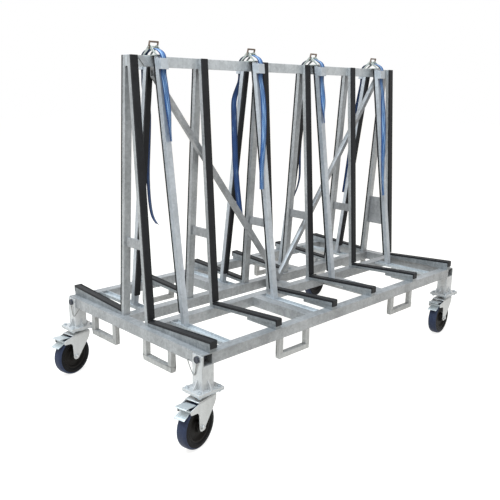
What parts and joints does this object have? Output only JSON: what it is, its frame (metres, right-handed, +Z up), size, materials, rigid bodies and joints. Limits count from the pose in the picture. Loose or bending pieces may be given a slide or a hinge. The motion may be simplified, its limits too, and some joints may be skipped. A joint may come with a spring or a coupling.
{
  "type": "glazing trolley",
  "caption": "Two-sided leaning-frame trolley for glass sheets, with rubber-faced supports, sliding strap-held clamping poles, fork hoops and braked swivel castors.",
  "frame": {"origin": "on the floor under the middle of the base", "axes": "+X along the trolley, +Y across it to the rear, +Z up"},
  "size_m": [2.1894, 1.1154, 1.639],
  "materials": {
    "galvanised": "hot-dip galvanised, dull with a faint spangle",
    "bright_zinc": "bright zinc plate",
    "dark_steel": "dark oiled steel",
    "handle_steel": "worn brownish plate",
    "wire": "bare steel wire",
    "black_rubber": "matt black rubber strip",
    "black_tyre": "black elastic rubber on a black centre",
    "blue_webbing": "woven blue webbing"
  },
  "bodies": {
    "frame": {"end_beams": "galvanised", "side_beams": "galvanised", "inner_beams": "galvanised", "cross_members": "galvanised", "pole_tracks": "galvanised", "support_bars": "galvanised", "support_rubbers": "black_rubber", "legs": "galvanised", "leg_rubbers": "black_rubber", "top_rail": "galvanised", "braces": "galvanised", "fork_hoops": "galvanised", "castor_posts": "galvanised", "castor_plates": "bright_zinc", "ratchet_frames": "bright_zinc", "pin_lanyards": "wire"},
    "castor_front_left": {"castor_fork_front_left": "bright_zinc"},
    "wheel_front_left": {"castor_wheel_front_left": "black_tyre"},
    "pedal_front_left": {"brake_pedal_front_left": "bright_zinc"},
    "pin_front_left": {"locking_pin_front_left": "dark_steel"},
    "castor_rear_left": {"castor_fork_rear_left": "bright_zinc"},
    "wheel_rear_left": {"castor_wheel_rear_left": "black_tyre"},
    "pedal_rear_left": {"brake_pedal_rear_left": "bright_zinc"},
    "pin_rear_left": {"locking_pin_rear_left": "dark_steel"},
    "castor_front_right": {"castor_fork_front_right": "bright_zinc"},
    "wheel_front_right": {"castor_wheel_front_right": "black_tyre"},
    "pedal_front_right": {"brake_pedal_front_right": "bright_zinc"},
    "pin_front_right": {"locking_pin_front_right": "dark_steel"},
    "castor_rear_right": {"castor_fork_rear_right": "bright_zinc"},
    "wheel_rear_right": {"castor_wheel_rear_right": "black_tyre"},
    "pedal_rear_right": {"brake_pedal_rear_right": "bright_zinc"},
    "pin_rear_right": {"locking_pin_rear_right": "dark_steel"},
    "pole_front_a": {"pole_front_a": "galvanised", "pole_rubber_front_a": "black_rubber", "strap_front_a": "blue_webbing"},
    "pole_front_b": {"pole_front_b": "galvanised", "pole_rubber_front_b": "black_rubber", "strap_front_b": "blue_webbing"},
    "pole_front_c": {"pole_front_c": "galvanised", "pole_rubber_front_c": "black_rubber", "strap_front_c": "blue_webbing"},
    "pole_front_d": {"pole_front_d": "galvanised", "pole_rubber_front_d": "black_rubber", "strap_front_d": "blue_webbing"},
    "pole_rear_a": {"pole_rear_a": "galvanised", "pole_rubber_rear_a": "black_rubber", "strap_rear_a": "blue_webbing"},
    "pole_rear_b": {"pole_rear_b": "galvanised", "pole_rubber_rear_b": "black_rubber", "strap_rear_b": "blue_webbing"},
    "pole_rear_c": {"pole_rear_c": "galvanised", "pole_rubber_rear_c": "black_rubber", "strap_rear_c": "blue_webbing"},
    "pole_rear_d": {"pole_rear_d": "galvanised", "pole_rubber_rear_d": "black_rubber", "strap_rear_d": "blue_webbing"},
    "handle_a": {"ratchet_handle_a": "handle_steel"},
    "handle_b": {"ratchet_handle_b": "handle_steel"},
    "handle_c": {"ratchet_handle_c": "handle_steel"},
    "handle_d": {"ratchet_handle_d": "handle_steel"}
  },
  "joints": [
    {"name": "swivel_front_left", "type": "hinge", "parent": "frame", "child": "castor_front_left", "pos_m": [-0.975, -0.499, 0.24], "axis": [0, 0, 1], "continuous": true},
    {"name": "roll_front_left", "type": "hinge", "parent": "castor_front_left", "child": "wheel_front_left", "pos_m": [-1.02586, -0.50981, 0.1], "axis": [-0.2079, 0.9781, 0], "continuous": true},
    {"name": "brake_front_left", "type": "hinge", "parent": "castor_front_left", "child": "pedal_front_left", "pos_m": [-1.08846, -0.52312, 0.191], "axis": [-0.2079, 0.9781, 0], "range_deg": [-14, 0]},
    {"name": "pin_pull_front_left", "type": "slide", "parent": "frame", "child": "pin_front_left", "axis": [-1, 0, 0], "range_m": [0, 0.055]},
    {"name": "swivel_rear_left", "type": "hinge", "parent": "frame", "child": "castor_rear_left", "pos_m": [-0.975, 0.499, 0.24], "axis": [0, 0, 1], "continuous": true},
    {"name": "roll_rear_left", "type": "hinge", "parent": "castor_rear_left", "child": "wheel_rear_left", "pos_m": [-1.02586, 0.48819, 0.1], "axis": [-0.2079, 0.9781, 0], "continuous": true},
    {"name": "brake_rear_left", "type": "hinge", "parent": "castor_rear_left", "child": "pedal_rear_left", "pos_m": [-1.08846, 0.47488, 0.191], "axis": [-0.2079, 0.9781, 0], "range_deg": [-14, 0]},
    {"name": "pin_pull_rear_left", "type": "slide", "parent": "frame", "child": "pin_rear_left", "axis": [-1, 0, 0], "range_m": [0, 0.055]},
    {"name": "swivel_front_right", "type": "hinge", "parent": "frame", "child": "castor_front_right", "pos_m": [0.975, -0.499, 0.24], "axis": [0, 0, 1], "continuous": true},
    {"name": "roll_front_right", "type": "hinge", "parent": "castor_front_right", "child": "wheel_front_right", "pos_m": [0.92329, -0.50443, 0.1], "axis": [-0.1045, 0.9945, 0], "continuous": true},
    {"name": "brake_front_right", "type": "hinge", "parent": "castor_front_right", "child": "pedal_front_right", "pos_m": [0.85964, -0.51113, 0.191], "axis": [-0.1045, 0.9945, 0], "range_deg": [-14, 0]},
    {"name": "pin_pull_front_right", "type": "slide", "parent": "frame", "child": "pin_front_right", "axis": [1, 0, 0], "range_m": [0, 0.055]},
    {"name": "swivel_rear_right", "type": "hinge", "parent": "frame", "child": "castor_rear_right", "pos_m": [0.975, 0.499, 0.24], "axis": [0, 0, 1], "continuous": true},
    {"name": "roll_rear_right", "type": "hinge", "parent": "castor_rear_right", "child": "wheel_rear_right", "pos_m": [0.92329, 0.49356, 0.1], "axis": [-0.1045, 0.9945, 0], "continuous": true},
    {"name": "brake_rear_right", "type": "hinge", "parent": "castor_rear_right", "child": "pedal_rear_right", "pos_m": [0.85964, 0.48688, 0.191], "axis": [-0.1045, 0.9945, 0], "range_deg": [-14, 0]},
    {"name": "pin_pull_rear_right", "type": "slide", "parent": "frame", "child": "pin_rear_right", "axis": [1, 0, 0], "range_m": [0, 0.055]},
    {"name": "clamp_front_a", "type": "slide", "parent": "frame", "child": "pole_front_a", "axis": [0, -1, 0], "range_m": [0, 0.26]},
    {"name": "clamp_front_b", "type": "slide", "parent": "frame", "child": "pole_front_b", "axis": [0, -1, 0], "range_m": [0, 0.26]},
    {"name": "clamp_front_c", "type": "slide", "parent": "frame", "child": "pole_front_c", "axis": [0, -1, 0], "range_m": [0, 0.26]},
    {"name": "clamp_front_d", "type": "slide", "parent": "frame", "child": "pole_front_d", "axis": [0, -1, 0], "range_m": [0, 0.26]},
    {"name": "clamp_rear_a", "type": "slide", "parent": "frame", "child": "pole_rear_a", "axis": [0, 1, 0], "range_m": [0, 0.26]},
    {"name": "clamp_rear_b", "type": "slide", "parent": "frame", "child": "pole_rear_b", "axis": [0, 1, 0], "range_m": [0, 0.26]},
    {"name": "clamp_rear_c", "type": "slide", "parent": "frame", "child": "pole_rear_c", "axis": [0, 1, 0], "range_m": [0, 0.26]},
    {"name": "clamp_rear_d", "type": "slide", "parent": "frame", "child": "pole_rear_d", "axis": [0, 1, 0], "range_m": [0, 0.26]},
    {"name": "ratchet_a", "type": "hinge", "parent": "frame", "child": "handle_a", "pos_m": [-0.826, 0, 1.613], "axis": [1, 0, 0], "range_deg": [-90, 60]},
    {"name": "ratchet_b", "type": "hinge", "parent": "frame", "child": "handle_b", "pos_m": [-0.237, 0, 1.613], "axis": [1, 0, 0], "range_deg": [-90, 60]},
    {"name": "ratchet_c", "type": "hinge", "parent": "frame", "child": "handle_c", "pos_m": [0.237, 0, 1.613], "axis": [1, 0, 0], "range_deg": [-90, 60]},
    {"name": "ratchet_d", "type": "hinge", "parent": "frame", "child": "handle_d", "pos_m": [0.793, 0, 1.613], "axis": [1, 0, 0], "range_deg": [-90, 60]}
  ]
}
